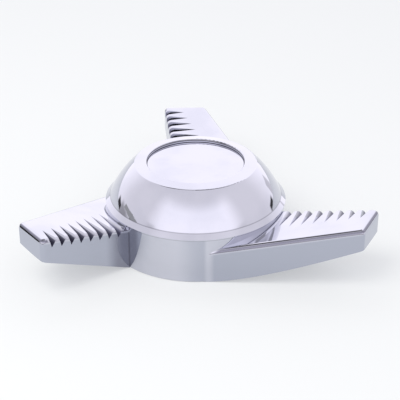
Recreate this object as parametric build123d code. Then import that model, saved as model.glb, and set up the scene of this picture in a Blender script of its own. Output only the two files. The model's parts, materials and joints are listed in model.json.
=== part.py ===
from build123d import *
import os
from math import acos, atan2, cos, degrees, radians, sin, tan

# All sizes are in millimetres and degrees. The base is at z = 0 and the thread axis is Z.

# Hub: round body, flared skirt and dome
hub_radius = 53.2
hub_height = 51.5
base_chamfer = 0.6
skirt_bottom = 27.2
skirt_overhang = 0.4
skirt_lip_height = 0.5
skirt_width = 2.7
skirt_slope = 46.0
dome_bulge = 1.3
ring_width = 7.3
ring_fall = 1.1
ring_round = 1.0

# Round recess for a glued emblem in the top of the hub
emblem_radius = 28.7
emblem_depth = 1.9
emblem_mouth_round = 0.9

# Inside of the hub: taper that seats on the wheel, then the bore that carries the thread
base_width = 8.2
seat_depth = 15.0
seat_angle = 35.0
thread_radius = 26.0
top_wall = 12.6

# Bars: the first one points along +Y with its cut edge on the -X side
bar_count = 3
bar_reach = 110.0
tip_offset = -7.8
tip_width = 27.3
tip_skew = 5.0
cut_wall_angle = 8.6
plain_wall_inset = 1.3
bar_below_skirt = 0.8
top_rise = 12.0
top_rise_heading = 11.8
underside_rise = 23.3
tip_corner_round = 2.4
top_edge_round = 2.8

# Zig-zag grooves across the cut edge of each bar
groove_count = 8
groove_pitch = 6.3
groove_first = 7.6
groove_depth = 5.2
groove_width = 5.6
groove_skew = 4.5
groove_length_at_tip = 12.2
groove_length_at_root = 23.6

# Spare length by which cutters and joined ends run past the faces they meet
overrun = 5.0


def heading(angle):
    """Unit vector in plan, turned anticlockwise from +Y by the angle."""
    return Vector(-sin(radians(angle)), cos(radians(angle)))


# Plan of a bar: the tip face, the cut wall, and the plain wall that leaves the hub at a tangent
tip_centre = Vector(tip_offset, bar_reach)
tip_along = heading(tip_skew - 90)
cut_corner = tip_centre - tip_along * (tip_width / 2)
plain_corner = tip_centre + tip_along * (tip_width / 2)
cut_wall_out = heading(cut_wall_angle)
cut_wall_normal = heading(cut_wall_angle + 90)
cut_wall_distance = cut_corner.dot(cut_wall_normal)
cut_wall_foot = cut_wall_normal * cut_wall_distance
plain_wall_distance = hub_radius - plain_wall_inset
plain_corner_angle = degrees(atan2(plain_corner.Y, plain_corner.X))
plain_turn = degrees(acos(plain_wall_distance / plain_corner.length))
plain_tangent = Vector(plain_wall_distance, 0).rotate(Axis.Z, plain_corner_angle - plain_turn)

# Sloping top face of a bar, which meets the hub just below the skirt
top_height_on_axis = skirt_bottom - bar_below_skirt - hub_radius * tan(radians(top_rise))
uphill = heading(top_rise_heading)
top_normal = Vector(0, 0, cos(radians(top_rise))) - uphill * sin(radians(top_rise))
top_plane = Plane(origin=(0, 0, top_height_on_axis), z_dir=top_normal)


def on_top(point):
    """Point of the bar's top face that lies above a point in plan."""
    return point + Vector(0, 0, top_height_on_axis + point.dot(uphill) * tan(radians(top_rise)))


def hub_blank():
    """Hub with its flared skirt, dome and emblem recess, still solid underneath."""
    lip_radius = hub_radius + skirt_overhang
    lip_top = skirt_bottom + skirt_lip_height
    dome_foot = (lip_radius - skirt_width, lip_top + skirt_width * tan(radians(skirt_slope)))
    ring_edge = (emblem_radius + ring_width, hub_height - ring_fall)
    emblem_mouth = (emblem_radius, hub_height)
    emblem_floor = hub_height - emblem_depth
    mouth_to_dome = Polyline(
        emblem_mouth,
        (emblem_radius, emblem_floor),
        (0, emblem_floor),
        (0, 0),
        (hub_radius - base_chamfer, 0),
        (hub_radius, base_chamfer),
        (hub_radius, skirt_bottom),
        (lip_radius, skirt_bottom),
        (lip_radius, lip_top),
        dome_foot,
    )
    dome = SagittaArc(dome_foot, ring_edge, -dome_bulge)
    ring = Line(ring_edge, emblem_mouth)
    profile = make_face(mouth_to_dome + dome + ring)
    for place, size in [(ring_edge, ring_round), (emblem_mouth, emblem_mouth_round)]:
        profile = fillet(profile.vertices().sort_by_distance(place)[0], size)
    return revolve(Plane.XZ * profile, Axis.Z)


def hub_inside():
    """Taper seat and thread bore, cut from below."""
    seat_mouth_radius = hub_radius - base_width
    seat_end_radius = seat_mouth_radius - seat_depth * tan(radians(seat_angle))
    bore_end = hub_height - emblem_depth - top_wall
    outline = Polyline(
        (0, 0),
        (seat_mouth_radius, 0),
        (seat_end_radius, seat_depth),
        (thread_radius, seat_depth),
        (thread_radius, bore_end),
        (0, bore_end),
        close=True,
    )
    return revolve(Plane.XZ * make_face(outline), Axis.Z)


def underside_cut():
    """Everything below the cone on which the bars rise from the hub's foot."""
    far = bar_reach + tip_width
    rise = (far - hub_radius) * tan(radians(underside_rise))
    outline = Polyline((hub_radius, 0), (far, rise), (far, -overrun), (hub_radius, -overrun), close=True)
    return revolve(Plane.XZ * make_face(outline), Axis.Z)


def bar_block():
    """One bar with its edges rounded and no grooves. Its inner end lies inside the hub."""
    outline = Polyline(cut_corner, plain_corner, plain_tangent, cut_wall_foot, close=True)
    block = extrude(make_face(outline), on_top(cut_corner).Z + overrun)
    block = split(block, bisect_by=top_plane, keep=Keep.BOTTOM) - underside_cut()
    upright = block.edges().filter_by(Axis.Z)
    corners = upright.filter_by(lambda e: e.center().Y > hub_radius)
    block = fillet(corners, tip_corner_round)
    top_face = block.faces().sort_by(Axis(top_plane.origin, top_plane.z_dir))[-1]
    outer = top_face.edges().sort_by(Axis.Y)[1:]
    return fillet(outer, top_edge_round)


def groove_cutter(index):
    """V-shaped prism, square to the top face, whose valley climbs from the cut wall to that face."""
    step = index / (groove_count - 1)
    length = groove_length_at_tip + step * (groove_length_at_root - groove_length_at_tip)
    mouth = cut_corner - cut_wall_out * (groove_first + index * groove_pitch)
    point = mouth - heading(90 + groove_skew) * length
    valley_mouth = on_top(mouth) - top_normal * groove_depth
    along = on_top(point) - valley_mouth
    start = valley_mouth - along.normalized() * overrun
    height = groove_depth + overrun
    half_width = height * groove_width / (2 * groove_depth)
    cut_edge = on_top(cut_corner) - on_top(mouth)
    section = Plane(origin=start, x_dir=cut_edge, z_dir=along)
    vee = Polyline((0, 0), (half_width, height), (-half_width, height), close=True)
    return extrude(section * make_face(vee), along.length + 2 * overrun)


def bar():
    """One finished bar with its row of grooves."""
    solid = bar_block()
    for index in range(groove_count):
        solid -= groove_cutter(index)
    return solid


# The whole spinner is one casting
one_bar = bar()
spinner_body = hub_blank()
for turn in range(bar_count):
    spinner_body += Rot(0, 0, turn * 360 / bar_count) * one_bar
spinner_body -= hub_inside()

os.makedirs("parts", exist_ok=True)
export_step(spinner_body, "parts/spinner_body.step")
print("spinner_body volume in cubic centimetres", round(spinner_body.volume / 1000, 1))
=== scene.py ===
import json
import math

import bpy
import mathutils
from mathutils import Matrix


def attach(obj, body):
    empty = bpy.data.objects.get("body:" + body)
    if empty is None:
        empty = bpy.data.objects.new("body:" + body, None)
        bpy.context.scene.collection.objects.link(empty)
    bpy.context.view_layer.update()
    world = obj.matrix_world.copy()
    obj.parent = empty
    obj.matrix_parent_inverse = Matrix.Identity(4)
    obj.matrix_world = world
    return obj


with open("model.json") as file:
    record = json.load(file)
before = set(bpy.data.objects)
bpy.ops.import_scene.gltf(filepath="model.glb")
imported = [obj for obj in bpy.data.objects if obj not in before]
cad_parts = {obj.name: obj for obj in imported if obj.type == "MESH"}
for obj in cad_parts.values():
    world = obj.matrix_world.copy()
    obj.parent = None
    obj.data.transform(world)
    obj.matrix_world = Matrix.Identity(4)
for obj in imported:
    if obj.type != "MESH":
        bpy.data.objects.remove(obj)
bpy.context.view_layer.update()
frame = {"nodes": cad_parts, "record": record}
scene = bpy.context.scene
scene.view_settings.view_transform = "Standard"
print("frame loaded:", sorted(frame["nodes"]))

# camera: in front of the spinner, a little right of its axis, looking down at it
cameraSet = {
    "place": (0.0026, -0.6605, 0.3761),   # metres
    "lookDown": 28.0,                     # degrees below the horizon
    "lens": 112.5,                        # mm
    "sensor": 36.0,                       # mm
    "clip": (0.01, 50.0),                 # metres
}


def makeCamera(s):
    data = bpy.data.cameras.new("photoCamera")
    data.lens = s["lens"]
    data.sensor_width = s["sensor"]
    data.clip_start, data.clip_end = s["clip"]
    cam = bpy.data.objects.new("photoCamera", data)
    cam.location = s["place"]
    cam.rotation_euler = (math.radians(90.0 - s["lookDown"]), 0.0, 0.0)
    scene.collection.objects.link(cam)
    scene.camera = cam


makeCamera(cameraSet)
print("camera set")


# small helpers for building node trees: a value is a number or another node's output
def plug(nt, socket, value):
    if isinstance(value, bpy.types.NodeSocket):
        nt.links.new(value, socket)
    else:
        socket.default_value = value


def mathNode(nt, operation, *values):
    node = nt.nodes.new("ShaderNodeMath")
    node.operation = operation
    for socket, value in zip(node.inputs, values):
        plug(nt, socket, value)
    return node.outputs[0]


def product(nt, first, *others):
    for other in others:
        first = mathNode(nt, "MULTIPLY", first, other)
    return first


def largest(nt, first, *others):
    for other in others:
        first = mathNode(nt, "MAXIMUM", first, other)
    return first


def hypotenuse(nt, a, b):
    return mathNode(nt, "SQRT", mathNode(nt, "ADD", product(nt, a, a), product(nt, b, b)))


# 0 at the start and 1 at the end, which may be the lower of the two
def rampNode(nt, value, start, end):
    node = nt.nodes.new("ShaderNodeMapRange")
    node.interpolation_type = "SMOOTHSTEP"
    node.inputs["From Min"].default_value = start
    node.inputs["From Max"].default_value = end
    nt.links.new(value, node.inputs["Value"])
    return node.outputs["Result"]


# a Mix node has its own sockets for numbers and for colours, so they are picked by their number
def mixValue(nt, fac, a, b):
    node = nt.nodes.new("ShaderNodeMix")
    for number, value in ((0, fac), (2, a), (3, b)):
        plug(nt, node.inputs[number], value)
    return node.outputs[0]


def mixColour(nt, fac, a, b):
    node = nt.nodes.new("ShaderNodeMix")
    node.data_type = "RGBA"
    plug(nt, node.inputs[0], fac)
    for number, value in ((6, a), (7, b)):
        plug(nt, node.inputs[number], (*value, 1.0) if isinstance(value, tuple) else value)
    return node.outputs[2]


def splitPlace(nt, place):
    split = nt.nodes.new("ShaderNodeSeparateXYZ")
    nt.links.new(place, split.inputs[0])
    return split.outputs


def newMaterial(name):
    mat = bpy.data.materials.new(name)
    mat.use_nodes = True
    return mat, mat.node_tree, mat.node_tree.nodes["Principled BSDF"]


# one flat rectangle of the studio
def makeSheet(name, corners, mat):
    mesh = bpy.data.meshes.new(name)
    mesh.from_pydata(corners, [], [(0, 1, 2, 3)])
    mesh.materials.append(mat)
    sheet = bpy.data.objects.new(name, mesh)
    scene.collection.objects.link(sheet)
    return sheet


# pale paper floor: camera and metal alike see it lifted a little towards white, and its shadow stays
floorSet = {
    "halfSide": 6.0,                  # metres
    "colour": (0.71, 0.75, 0.755),
    "liftColour": (0.99, 0.99, 1.0),
    "lift": 0.40,                     # share of plain white
}


def makePaper(s):
    mat, nt, shader = newMaterial("palePaper")
    nt.nodes.remove(shader)
    paper = nt.nodes.new("ShaderNodeBsdfDiffuse")
    paper.inputs["Color"].default_value = (*s["colour"], 1.0)
    white = nt.nodes.new("ShaderNodeEmission")
    white.inputs["Color"].default_value = (*s["liftColour"], 1.0)
    path = nt.nodes.new("ShaderNodeLightPath")
    mirrored = mathNode(nt, "ADD", path.outputs["Is Glossy Ray"], path.outputs["Is Transmission Ray"])
    seen = mathNode(nt, "ADD", path.outputs["Is Camera Ray"], mirrored)
    mix = nt.nodes.new("ShaderNodeMixShader")
    nt.links.new(product(nt, seen, s["lift"]), mix.inputs["Fac"])
    nt.links.new(paper.outputs[0], mix.inputs[1])
    nt.links.new(white.outputs[0], mix.inputs[2])
    nt.links.new(mix.outputs[0], nt.nodes["Material Output"].inputs["Surface"])
    return mat


def makeFloor(s):
    half = s["halfSide"]
    corners = [(-half, -half, 0.0), (half, -half, 0.0), (half, half, 0.0), (-half, half, 0.0)]
    floor = makeSheet("studioFloor", corners, makePaper(s))


makeFloor(floorSet)

# studio tent: even sides, brighter in front and behind, with a dimmer roof, dark strips in it and gaps low
# down. Directions: x to the right, y away from the camera, z up. Each patch has its amount and its edges. An
# edge runs from where the patch starts to where it is full, read as x, z, lean (y over z), slant (x over y)
# or turn (y over the distance across). Where the shades of one group overlap, the darkest one counts.
tentSet = {
    "colour": (0.975, 0.945, 0.995),
    "sides": 1.03,
    "least": 0.05,                    # least height or depth that a lean or slant is taken over
    "glows": {
        "front": (0.44, {"turn": [(-0.30, -0.75)], "z": [(0.86, 0.64)]}),
        "back": (0.46, {"turn": [(0.2, 0.95)]}),
    },
    "shades": {
        "overhead": {
            "roof": (0.45, {"lean": [(-0.22, -0.08), (0.70, 0.50)],
                            "x": [(-0.58, -0.42), (0.58, 0.42)], "z": [(0.0, 0.1)]}),
            "leftStrip": (0.97, {"lean": [(-0.13, -0.06), (0.13, 0.06)],
                                 "x": [(-0.63, -0.56), (-0.20, -0.27)], "z": [(0.0, 0.1)]}),
            "backStrip": (0.86, {"lean": [(0.00, 0.14), (0.64, 0.50)],
                                 "x": [(-0.50, -0.32), (0.50, 0.32)]}),
            "rightFlag": (0.62, {"lean": [(0.62, 0.70), (0.97, 0.93)],
                                 "slant": [(0.105, 0.13), (0.95, 0.70)]}),
        },
        "front": {
            "lowSpace": (0.60, {"turn": [(-0.30, -0.60)], "z": [(0.34, 0.24)]}),
        },
        "footOfSides": {
            "bothGaps": (0.95, {"turn": [(0.37, 0.43), (0.60, 0.54)], "z": [(0.075, 0.045)]}),
            "leftGap": (0.55, {"turn": [(-0.25, -0.12), (0.48, 0.38)],
                               "x": [(0.0, -0.1)], "z": [(0.16, 0.08)]}),
        },
        "backRight": {
            "doorway": (0.36, {"turn": [(0.635, 0.65), (0.77, 0.745)],
                               "x": [(0.0, 0.1)], "z": [(0.15, 0.12)]}),
        },
    },
}


def makeWorld(s):
    world = bpy.data.worlds.new("studioTent")
    scene.world = world
    world.use_nodes = True
    nt = world.node_tree
    back = nt.nodes["Background"]
    back.inputs["Color"].default_value = (*s["colour"], 1.0)
    x, y, z = splitPlace(nt, nt.nodes.new("ShaderNodeTexCoord").outputs["Generated"])
    readings = {
        "x": x,
        "z": z,
        "lean": mathNode(nt, "DIVIDE", y, largest(nt, z, s["least"])),
        "slant": mathNode(nt, "DIVIDE", x, largest(nt, y, s["least"])),
        "turn": mathNode(nt, "DIVIDE", y, hypotenuse(nt, x, y)),
    }

    def patch(amount, edges):
        ramps = [rampNode(nt, readings[name], *edge) for name in edges for edge in edges[name]]
        return product(nt, amount, *ramps)

    level = s["sides"]
    for glow in s["glows"].values():
        level = mathNode(nt, "ADD", level, patch(*glow))
    for group in s["shades"].values():
        shade = largest(nt, *[patch(*one) for one in group.values()])
        level = product(nt, level, mathNode(nt, "SUBTRACT", 1.0, shade))
    nt.links.new(level, back.inputs["Strength"])


makeWorld(tentSet)

# one soft lamp in front on the left gives the shadow its direction
lampSet = {
    "place": (-0.45, -0.40, 0.9),     # metres, aimed at the foot of the hub
    "side": 0.6,
    "power": 5.2,                     # watts
    "colour": (1.0, 0.95, 0.87),
}


def makeLamp(s):
    data = bpy.data.lights.new("softLamp", "AREA")
    data.shape = "SQUARE"
    data.size = s["side"]
    data.energy = s["power"]
    data.color = s["colour"]
    lamp = bpy.data.objects.new("softLamp", data)
    lamp.location = s["place"]
    lamp.rotation_euler = (-lamp.location).to_track_quat("-Z", "Y").to_euler()
    lamp.visible_glossy = False
    scene.collection.objects.link(lamp)


makeLamp(lampSet)

# upright cards on the left, in metres, seen only in the plating: one shows as a dark line on the left tip and
# one as a grey band at the foot of the dome
cardSet = {
    "tipCard": {"x": -0.150, "y": (-0.050, -0.028), "z": (0.026, 0.048), "level": 0.03},
    "footCard": {"x": -0.151, "y": (-0.110, 0.010), "z": (0.0475, 0.0568), "level": 0.45},
}


def makeCard(name, s):
    mat, nt, shader = newMaterial(name)
    nt.nodes.remove(shader)
    dark = nt.nodes.new("ShaderNodeEmission")
    dark.inputs["Color"].default_value = (1.0, 1.0, 1.0, 1.0)
    dark.inputs["Strength"].default_value = s["level"]
    nt.links.new(dark.outputs[0], nt.nodes["Material Output"].inputs["Surface"])
    x, (near, far), (low, high) = s["x"], s["y"], s["z"]
    card = makeSheet(name, [(x, near, low), (x, far, low), (x, far, high), (x, near, high)], mat)
    card.visible_camera = False
    card.visible_diffuse = False
    card.visible_shadow = False


for cardName, oneCard in cardSet.items():
    makeCard(cardName, oneCard)
print("floor, tent, lamp and cards set")


# surface effects shared by the plated outside and the turned inside
def newGroup(name, inputs, outputs):
    group = bpy.data.node_groups.new(name, "ShaderNodeTree")
    for label in inputs:
        kind = "NodeSocketVector" if label == "Place" else "NodeSocketFloat"
        group.interface.new_socket(label, in_out="INPUT", socket_type=kind)
    for label in outputs:
        group.interface.new_socket(label, in_out="OUTPUT", socket_type="NodeSocketFloat")
    return group, group.nodes.new("NodeGroupInput").outputs, group.nodes.new("NodeGroupOutput").inputs


def noiseNode(nt, place, scale, detail):
    node = nt.nodes.new("ShaderNodeTexNoise")
    nt.links.new(place, node.inputs["Vector"])
    plug(nt, node.inputs["Scale"], scale)
    node.inputs["Detail"].default_value = detail
    return node.outputs["Fac"]


# place laid out round the axis: distance from it, height, and the way round, at so many metres to the radian
def roundTheAxis(nt, place, perRadian):
    x, y, z = splitPlace(nt, place)
    radius = hypotenuse(nt, x, y)
    angle = mathNode(nt, "ABSOLUTE", mathNode(nt, "ARCTAN2", x, y))   # no jump where the turn closes
    join = nt.nodes.new("ShaderNodeCombineXYZ")
    for socket, value in zip(join.inputs, (radius, z, product(nt, angle, perRadian))):
        nt.links.new(value, socket)
    return radius, z, join.outputs[0]


# slow waves left by buffing the casting, cloudy haze, and fine lines where the mop ran round the axis
polishSet = {
    "waveDetail": 1.0,
    "hazeDetail": 4.0,
    "hazeRange": (0.42, 0.68),        # noise at which the haze starts and is full
    "lineDetail": 3.0,
    "lineRange": (0.46, 0.70),
    "perRadian": 0.004,               # metres, small so that the lines are long
}


def makePolishMarks(s):
    group, given, out = newGroup("polishMarks", ("Place", "Wave Scale", "Haze Scale", "Line Scale"),
                                 ("Waves", "Haze", "Lines"))
    place = given["Place"]
    waves = noiseNode(group, place, given["Wave Scale"], s["waveDetail"])
    haze = noiseNode(group, place, given["Haze Scale"], s["hazeDetail"])
    _, _, laid = roundTheAxis(group, place, s["perRadian"])
    lines = noiseNode(group, laid, given["Line Scale"], s["lineDetail"])
    group.links.new(waves, out["Waves"])
    group.links.new(rampNode(group, haze, *s["hazeRange"]), out["Haze"])
    group.links.new(rampNode(group, lines, *s["lineRange"]), out["Lines"])
    return group


# rings left by the lathe tool: one ridge for each step of feed, uneven in depth
ringSet = {
    "unevenScale": 900.0,             # patches to the metre
    "unevenDetail": 2.0,
    "perRadian": 0.002,               # metres, small so that a patch runs far round
}


def makeTurnedRings(s):
    group, given, out = newGroup("turnedRings", ("Place", "Feed"), ("Rings", "Dull"))
    radius, z, laid = roundTheAxis(group, given["Place"], s["perRadian"])
    steps = mathNode(group, "DIVIDE", mathNode(group, "ADD", radius, z), given["Feed"])
    wave = mathNode(group, "SINE", product(group, steps, 2.0 * math.pi))
    ridge = mathNode(group, "MULTIPLY_ADD", wave, 0.5, 0.5)           # from 0 to 1
    uneven = noiseNode(group, laid, s["unevenScale"], s["unevenDetail"])
    group.links.new(product(group, ridge, uneven), out["Rings"])
    group.links.new(uneven, out["Dull"])
    return group


polishMarks = makePolishMarks(polishSet)
turnedRings = makeTurnedRings(ringSet)
print("polish marks and lathe rings ready")


def placeGroup(nt, group, place, values):
    node = nt.nodes.new("ShaderNodeGroup")
    node.node_tree = group
    nt.links.new(place, node.inputs["Place"])
    for label, value in values.items():
        node.inputs[label].default_value = value
    return node.outputs


def objectPlace(nt):
    return nt.nodes.new("ShaderNodeTexCoord").outputs["Object"]


def bumpFrom(nt, height):
    node = nt.nodes.new("ShaderNodeBump")
    node.inputs["Strength"].default_value = 1.0
    node.inputs["Distance"].default_value = 1.0      # the height is in metres already
    nt.links.new(height, node.inputs["Height"])
    return node.outputs["Normal"]


# the first bar as the casting has it, and where its plating has painted shade and is rougher: metres, and
# degrees from +Y.
# Each pair is where the painted shade and roughness start and where they are full.
barSet = {
    "count": 3,
    "cutCorner": (-0.02140, 0.10881), # outer end of the cut edge, in plan
    "edgeHeading": 8.6,               # the way the cut edge runs outwards
    "topOnAxis": 0.01509,             # height of the sloping top where it would meet the axis
    "topRise": 12.0,
    "topHeading": 11.8,
    "sideDepth": (0.0020, 0.0034),    # sides of the bar, painted darker, by their depth below the top
    "edgeTop": (0.0004, 0.0009),      # painted dark reflection line along the rounded edge, by its depth below the top
    "edgeFoot": (0.0022, 0.0015),
    "wallReach": (0.0012, 0.0006),    # distance from the cut wall
    "cornerRun": (0.041, 0.051),      # run along the cut edge, from its outer end, into the corner at the hub, where shade is painted
    "rootAngle": -52.5,               # where the plain wall leaves the hub
    "rootRun": (0.36, 0.06),          # radians round the hub over which its wall takes painted shade and dulls towards that root
    "rootEnd": (0.0, 0.05),           # and over which that ends
}

# the row of grooves across the cut edge, and the painted shade and rougher metal in them
grooveSet = {
    "heading": -85.5,                 # the way each groove runs in from the edge
    "first": 0.0076,                  # from the outer end of the edge
    "pitch": 0.0063,
    "count": 8,
    "mouth": (0.0001, 0.0004),        # distance in from the edge at which the marks start
    "innerEnd": (0.0246, 0.0236),     # and end, at the length of the longest groove
    "bottom": (0.0062, 0.0057),       # depth below the top at which they end
    "lineWidth": (0.0009, 0.0002),    # painted shade line along the valley, by the distance from it along the edge
    "lineDepth": (0.0001, 0.0008),    # and by its depth below the top
    "pocketWidth": (0.0030, 0.0016),  # painted shade in the deep of the groove, in the same way
    "pocketDepth": (0.0002, 0.0022),
}


def heading(angle):
    return mathutils.Vector((-math.sin(math.radians(angle)), math.cos(math.radians(angle)), 0.0))


# how far a place lies along a direction, from a start
def measure(nt, place, direction, start):
    node = nt.nodes.new("ShaderNodeVectorMath")
    node.operation = "DOT_PRODUCT"
    nt.links.new(place, node.inputs[0])
    node.inputs[1].default_value = direction
    return mathNode(nt, "SUBTRACT", node.outputs["Value"], start)


# place on a bar, with all of them turned onto the first: along the cut edge from its outer end, in from that
# edge as a groove runs, down from the sloping top, and radians round the hub from the root of the plain wall
def barPlace(nt, place, s, grooveHeading):
    x, y, _ = splitPlace(nt, place)
    step = 2.0 * math.pi / s["count"]
    angle = mathNode(nt, "ARCTAN2", product(nt, x, -1.0), y)
    nearest = mathNode(nt, "ROUND", mathNode(nt, "DIVIDE", angle, step))
    turn = nt.nodes.new("ShaderNodeVectorRotate")
    turn.rotation_type = "Z_AXIS"
    nt.links.new(place, turn.inputs["Vector"])
    nt.links.new(product(nt, nearest, -step), turn.inputs["Angle"])
    onFirst = turn.outputs[0]

    corner = mathutils.Vector((*s["cutCorner"], 0.0))
    edge = -heading(s["edgeHeading"])
    valley = heading(grooveHeading)
    along = mathutils.Vector((valley.y, -valley.x, 0.0))
    along /= along.dot(edge)                         # skewed: the same all along a groove
    inwards = mathutils.Vector((-edge.y, edge.x, 0.0))
    inwards /= inwards.dot(valley)                   # counted along a groove
    topRise = heading(s["topHeading"]) * math.tan(math.radians(s["topRise"]))
    down = topRise - mathutils.Vector((0.0, 0.0, 1.0))
    past = mathNode(nt, "DIVIDE", mathNode(nt, "SUBTRACT", math.radians(s["rootAngle"]), angle), step)
    return {
        "along": measure(nt, onFirst, along, along.dot(corner)),
        "inwards": measure(nt, onFirst, inwards, inwards.dot(corner)),
        "down": measure(nt, onFirst, down, -s["topOnAxis"]),
        "fromRoot": product(nt, mathNode(nt, "FRACT", past), step),
    }


# masks of the grooves: all that is inside them, the painted shade line along the valley, and the painted
# shade in the deep pocket
def grooveMasks(nt, on, s):
    pitches = mathNode(nt, "DIVIDE", mathNode(nt, "SUBTRACT", on["along"], s["first"]), s["pitch"])
    nearest = mathNode(nt, "ROUND", pitches)
    off = product(nt, mathNode(nt, "ABSOLUTE", mathNode(nt, "SUBTRACT", pitches, nearest)), s["pitch"])
    inRow = product(nt, mathNode(nt, "GREATER_THAN", nearest, -0.5),          # from the first groove
                    mathNode(nt, "LESS_THAN", nearest, s["count"] - 0.5))     # to the last
    inside = product(nt, inRow, rampNode(nt, on["inwards"], *s["mouth"]),
                     rampNode(nt, on["inwards"], *s["innerEnd"]), rampNode(nt, on["down"], *s["bottom"]))
    line = product(nt, rampNode(nt, off, *s["lineWidth"]), rampNode(nt, on["down"], *s["lineDepth"]), inside)
    pocket = product(nt, rampNode(nt, off, *s["pocketWidth"]), rampNode(nt, on["down"], *s["pocketDepth"]),
                     inside)
    return inside, line, pocket


# masks of the bars' painted shade and rougher metal: the grooves, the sides, the inner corner of the cut
# wall, the rounded edge and the root
def barMasks(nt, place, s, grooves):
    on = barPlace(nt, place, s, grooves["heading"])
    inside, line, pocket = grooveMasks(nt, on, grooves)
    sides = rampNode(nt, on["down"], *s["sideDepth"])
    onWall = rampNode(nt, mathNode(nt, "ABSOLUTE", on["inwards"]), *s["wallReach"])
    return {
        "line": line,
        "pocket": pocket,
        "sides": sides,
        # painted shade in the inner corner of the cut wall
        "corner": product(nt, onWall, rampNode(nt, on["along"], *s["cornerRun"]), sides),
        # painted dark reflection line along the rounded edge
        "edge": product(nt, rampNode(nt, on["down"], *s["edgeTop"]), rampNode(nt, on["down"], *s["edgeFoot"]),
                        mathNode(nt, "SUBTRACT", 1.0, inside)),
        "root": product(nt, rampNode(nt, on["fromRoot"], *s["rootRun"]),
                        rampNode(nt, on["fromRoot"], *s["rootEnd"])),
    }


# chrome plate: mirror bright on the hub, with painted shade on the bars' sides and near their roots, painted
# shade and rougher metal in the grooves, inner corners and along the edges, painted dark lines in the
# creases, and turned in the seat, the bore and the foot
chromeSet = {
    "colour": (0.612, 0.620, 0.695),
    "roughness": 0.022,
    "hazeColour": (0.563, 0.574, 0.650),
    "hazeRoughness": 0.05,
    "hazeScale": 38.0,
    "waveScale": 55.0,                # buffing waves to the metre
    "waveHeight": 0.000035,           # metres
    "lineScale": 1500.0,
    "lineHeight": 0.0000006,
    # painted shade on the bars' sides, with rougher metal
    "sideShadeColour": (0.450, 0.470, 0.550),
    "sideRoughness": 0.05,
    "sideRadius": (0.0533, 0.0543),   # distance from the axis at which the bars' sides begin
    "wallRadius": (0.0520, 0.0525),   # the hub's wall
    "wallHead": (0.0272, 0.0268),
    "rootShadeShare": 0.75,                # how much of the sides' painted shade and roughness the hub's wall takes near a root
    # painted shade in the grooves, the inner corner and along the edge, with rougher metal
    "paintedShadeColour": (0.14, 0.14, 0.19),
    "dullRoughness": 0.16,
    "shadeAndDullShares": {"line": 0.85, "pocket": 0.85, "corner": 0.58, "edge": 0.82},
    # painted dark lines in the creases and at the recess mouth
    "creaseShadeColour": (0.03, 0.03, 0.045),
    "creaseWidth": (0.0005, 0.00015),
    "creases": {                      # painted dark lines, rings round the axis: radius, height, share
        "aboveSkirt": (0.0509, 0.0305, 0.33),
        "belowSkirt": (0.0533, 0.0270, 0.33),
        "recessFloor": (0.0287, 0.0496, 1.0),
        "recessMouth": (0.0287, 0.0509, 0.85),
    },
    "turnedColour": (0.54, 0.535, 0.57),
    "turnedRoughness": 0.20,
    "turnedSpread": 0.12,             # roughness that the uneven rings add at most
    "feed": 0.0006,                   # metres to each ring of the lathe
    "ringHeight": 0.000012,
    "seatMouth": (0.04512, 0.04502),  # radius within which the metal is turned
    "boreEnd": (0.03712, 0.03702),    # height below which it is
    "footRing": (0.0002, 0.0001),     # and the flat ring that the hub stands on
}


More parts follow.
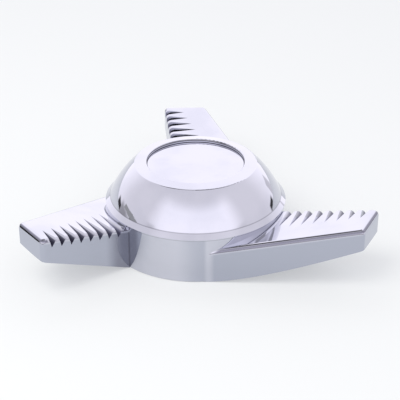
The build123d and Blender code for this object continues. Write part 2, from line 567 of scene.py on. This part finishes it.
def makeChrome(s):
    mat, nt, shader = newMaterial("chromePlate")
    shader.inputs["Metallic"].default_value = 1.0
    place = objectPlace(nt)
    polish = placeGroup(nt, polishMarks, place, {"Wave Scale": s["waveScale"], "Haze Scale": s["hazeScale"],
                                                 "Line Scale": s["lineScale"]})
    rings = placeGroup(nt, turnedRings, place, {"Feed": s["feed"]})

    # where each finish is, and where shade is painted
    x, y, z = splitPlace(nt, place)
    radius = hypotenuse(nt, x, y)
    inside = product(nt, rampNode(nt, radius, *s["seatMouth"]), rampNode(nt, z, *s["boreEnd"]))
    turned = largest(nt, inside, rampNode(nt, z, *s["footRing"]))
    masks = barMasks(nt, place, barSet, grooveSet)
    onBar = rampNode(nt, radius, *s["sideRadius"])
    hubWall = product(nt, rampNode(nt, radius, *s["wallRadius"]), rampNode(nt, z, *s["wallHead"]))
    # painted shade: the bars' sides greyer, and the hub's wall greyer towards each root
    rootShade = product(nt, hubWall, masks["root"], s["rootShadeShare"])
    sides = largest(nt, product(nt, masks["sides"], onBar), rootShade)
    masks["edge"] = product(nt, masks["edge"], onBar)
    # painted shade and rougher metal in the grooves, the inner corner and along the edge
    shadeAndDull = largest(nt, *[product(nt, masks[name], share) for name, share in s["shadeAndDullShares"].items()])
    # painted dark lines in the creases and at the recess mouth
    creases = []
    for creaseRadius, creaseHeight, share in s["creases"].values():
        out = mathNode(nt, "SUBTRACT", radius, creaseRadius)
        up = mathNode(nt, "SUBTRACT", z, creaseHeight)
        creases.append(product(nt, rampNode(nt, hypotenuse(nt, out, up), *s["creaseWidth"]), share))
    crease = largest(nt, *creases)

    # colour, roughness and relief, each laid over the one before
    colour = mixColour(nt, polish["Haze"], s["colour"], s["hazeColour"])
    # painted shade on the bars' sides and near their roots
    colour = mixColour(nt, sides, colour, s["sideShadeColour"])
    # painted shade in the grooves, the inner corner and along the edge
    colour = mixColour(nt, shadeAndDull, colour, s["paintedShadeColour"])
    # painted dark lines in the creases and at the recess mouth
    colour = mixColour(nt, crease, colour, s["creaseShadeColour"])
    nt.links.new(mixColour(nt, turned, colour, s["turnedColour"]), shader.inputs["Base Color"])
    rough = mixValue(nt, polish["Haze"], s["roughness"], s["hazeRoughness"])
    rough = mixValue(nt, sides, rough, s["sideRoughness"])
    rough = mixValue(nt, largest(nt, shadeAndDull, crease), rough, s["dullRoughness"])
    lathe = mathNode(nt, "MULTIPLY_ADD", rings["Dull"], s["turnedSpread"], s["turnedRoughness"])
    nt.links.new(mixValue(nt, turned, rough, lathe), shader.inputs["Roughness"])
    buffed = mathNode(nt, "ADD", product(nt, polish["Waves"], s["waveHeight"]),
                      product(nt, polish["Lines"], s["lineHeight"]))
    height = mathNode(nt, "ADD", buffed, product(nt, rings["Rings"], turned, s["ringHeight"]))
    nt.links.new(bumpFrom(nt, height), shader.inputs["Normal"])
    return mat


body = frame["nodes"]["spinner_body"]
body.data.materials.clear()
body.data.materials.append(makeChrome(chromeSet))
print("chrome plate on the casting")

# thread that screws onto the wheel's hub: a ridge wound up the bore, fading into the wall at both ends
threadSet = {
    "pitch": 0.003175,                # metres, 8 turns to the inch
    "ridgeHeight": 0.0017,
    "ridgeFoot": 0.0028,
    "ridgeCrest": 0.0008,
    "sunk": 0.0001,                   # how far the foot goes into the wall
    "endGap": 0.0017,                 # plain wall left at each end of the bore
    "stepsPerTurn": 96,
    "fade": 0.05,                     # share of the length that fades at each end
    "endScale": 0.02,                 # share of the ridge that is left at its very ends
    "creaseAngle": 30.0,              # degrees past which an edge stays sharp
    "colour": (0.53, 0.525, 0.555),
    "hazeColour": (0.46, 0.455, 0.48),
    "hazeScale": 120.0,
    "roughness": 0.20,
    "spread": 0.14,                   # roughness that the uneven rings add at most
    "feed": 0.0003,                   # metres to each ring of the lathe
    "ringHeight": 0.000004,
}


def makeThreadMetal(s):
    mat, nt, shader = newMaterial("turnedThread")
    shader.inputs["Metallic"].default_value = 1.0
    place = objectPlace(nt)
    polish = placeGroup(nt, polishMarks, place, {"Haze Scale": s["hazeScale"]})
    rings = placeGroup(nt, turnedRings, place, {"Feed": s["feed"]})
    nt.links.new(mixColour(nt, polish["Haze"], s["colour"], s["hazeColour"]), shader.inputs["Base Color"])
    rough = mathNode(nt, "MULTIPLY_ADD", rings["Dull"], s["spread"], s["roughness"])
    nt.links.new(rough, shader.inputs["Roughness"])
    nt.links.new(bumpFrom(nt, product(nt, rings["Rings"], s["ringHeight"])), shader.inputs["Normal"])
    return mat


# spiral and tapered profile swept along it
def makeThreadTree():
    tree = bpy.data.node_groups.new("hubThread", "GeometryNodeTree")
    sizes = {"Turns": "Float", "Length": "Float", "Wall Radius": "Float", "Ridge Height": "Float",
             "Foot Width": "Float", "Crest Width": "Float", "Fade": "Float", "End Scale": "Float",
             "Crease Angle": "Float", "Steps Per Turn": "Int", "Metal": "Material"}
    for label, kind in sizes.items():
        tree.interface.new_socket(label, in_out="INPUT", socket_type="NodeSocket" + kind)
    tree.interface.new_socket("Geometry", in_out="OUTPUT", socket_type="NodeSocketGeometry")
    given = tree.nodes.new("NodeGroupInput").outputs
    link = tree.links.new

    spiral = tree.nodes.new("GeometryNodeCurveSpiral")
    for label, source in (("Resolution", "Steps Per Turn"), ("Rotations", "Turns"), ("Height", "Length"),
                          ("Start Radius", "Wall Radius"), ("End Radius", "Wall Radius")):
        link(given[source], spiral.inputs[label])
    spiral.inputs["Reverse"].default_value = True    # climbs anticlockwise: a right-hand thread
    level = tree.nodes.new("GeometryNodeSetCurveNormal")
    level.mode = "Z_UP"
    link(spiral.outputs[0], level.inputs["Curve"])

    # profile with its foot on the spiral, turned so that the crest points at the axis
    outline = tree.nodes.new("GeometryNodeCurvePrimitiveQuadrilateral")
    outline.mode = "TRAPEZOID"
    link(given["Ridge Height"], outline.inputs["Height"])
    link(given["Foot Width"], outline.inputs["Bottom Width"])
    link(given["Crest Width"], outline.inputs["Top Width"])
    outline.inputs["Offset"].default_value = 0.0
    shift = tree.nodes.new("ShaderNodeCombineXYZ")
    link(product(tree, given["Ridge Height"], 0.5), shift.inputs["Y"])
    stand = tree.nodes.new("GeometryNodeTransform")
    link(outline.outputs[0], stand.inputs["Geometry"])
    link(shift.outputs[0], stand.inputs["Translation"])
    lay = tree.nodes.new("GeometryNodeTransform")
    lay.inputs["Rotation"].default_value = (0.0, 0.0, math.radians(90.0))
    link(stand.outputs[0], lay.inputs["Geometry"])

    # sweep, smaller towards both ends
    part = tree.nodes.new("GeometryNodeSplineParameter").outputs["Factor"]
    fromEnd = mathNode(tree, "MINIMUM", part, mathNode(tree, "SUBTRACT", 1.0, part))
    grown = mathNode(tree, "MINIMUM", mathNode(tree, "DIVIDE", fromEnd, given["Fade"]), 1.0)
    sweep = tree.nodes.new("GeometryNodeCurveToMesh")
    link(level.outputs[0], sweep.inputs["Curve"])
    link(lay.outputs[0], sweep.inputs["Profile Curve"])
    link(largest(tree, grown, given["End Scale"]), sweep.inputs["Scale"])
    sweep.inputs["Fill Caps"].default_value = True

    sharp = tree.nodes.new("FunctionNodeCompare")
    sharp.operation = "GREATER_THAN"
    link(tree.nodes.new("GeometryNodeInputMeshEdgeAngle").outputs["Unsigned Angle"], sharp.inputs[0])
    link(given["Crease Angle"], sharp.inputs[1])
    crease = tree.nodes.new("GeometryNodeSetShadeSmooth")
    crease.domain = "EDGE"
    link(sweep.outputs[0], crease.inputs["Geometry"])
    link(sharp.outputs[0], crease.inputs["Selection"])
    crease.inputs["Shade Smooth"].default_value = False
    realize = tree.nodes.new("GeometryNodeRealizeInstances")
    link(crease.outputs[0], realize.inputs["Geometry"])
    paint = tree.nodes.new("GeometryNodeSetMaterial")
    link(realize.outputs[0], paint.inputs["Geometry"])
    link(given["Metal"], paint.inputs["Material"])
    link(paint.outputs[0], tree.nodes.new("NodeGroupOutput").inputs["Geometry"])
    return tree


# the modifier's result as a plain mesh
def windThread(values):
    maker = bpy.data.objects.new("hubThreadMaker", bpy.data.meshes.new("hubThreadMaker"))
    scene.collection.objects.link(maker)
    tree = makeThreadTree()
    wind = maker.modifiers.new("wind", "NODES")
    wind.node_group = tree
    for item in tree.interface.items_tree:
        if item.in_out == "INPUT":
            wind[item.identifier] = values[item.name]
    ready = maker.evaluated_get(bpy.context.evaluated_depsgraph_get())
    mesh = bpy.data.meshes.new_from_object(ready)
    mesh.name = "hubThread"
    maker.modifiers.remove(wind)
    bpy.data.objects.remove(maker)
    return mesh


def makeThread(s):
    bore = next(m for m in frame["record"]["mounts"] if m["name"] == "spindle_thread")
    boreRadius = bore["dims"]["r_mm"] / 1000.0
    length = bore["dims"]["length_mm"] / 1000.0 - 2.0 * s["endGap"]
    bottom = bore["pos_m"][2] - length / 2.0
    turns = length / s["pitch"]
    mesh = windThread({
        "Turns": turns, "Length": length, "Wall Radius": boreRadius + s["sunk"],
        "Ridge Height": s["ridgeHeight"], "Foot Width": s["ridgeFoot"], "Crest Width": s["ridgeCrest"],
        "Fade": s["fade"], "End Scale": s["endScale"], "Crease Angle": math.radians(s["creaseAngle"]),
        "Steps Per Turn": s["stepsPerTurn"], "Metal": makeThreadMetal(s),
    })
    mesh.transform(mathutils.Matrix.Translation((0.0, 0.0, bottom)))
    thread = bpy.data.objects.new("hubThread", mesh)
    scene.collection.objects.link(thread)
    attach(thread, "root")
    print("thread wound:", len(mesh.polygons), "faces,", round(turns, 1), "turns")


makeThread(threadSet)
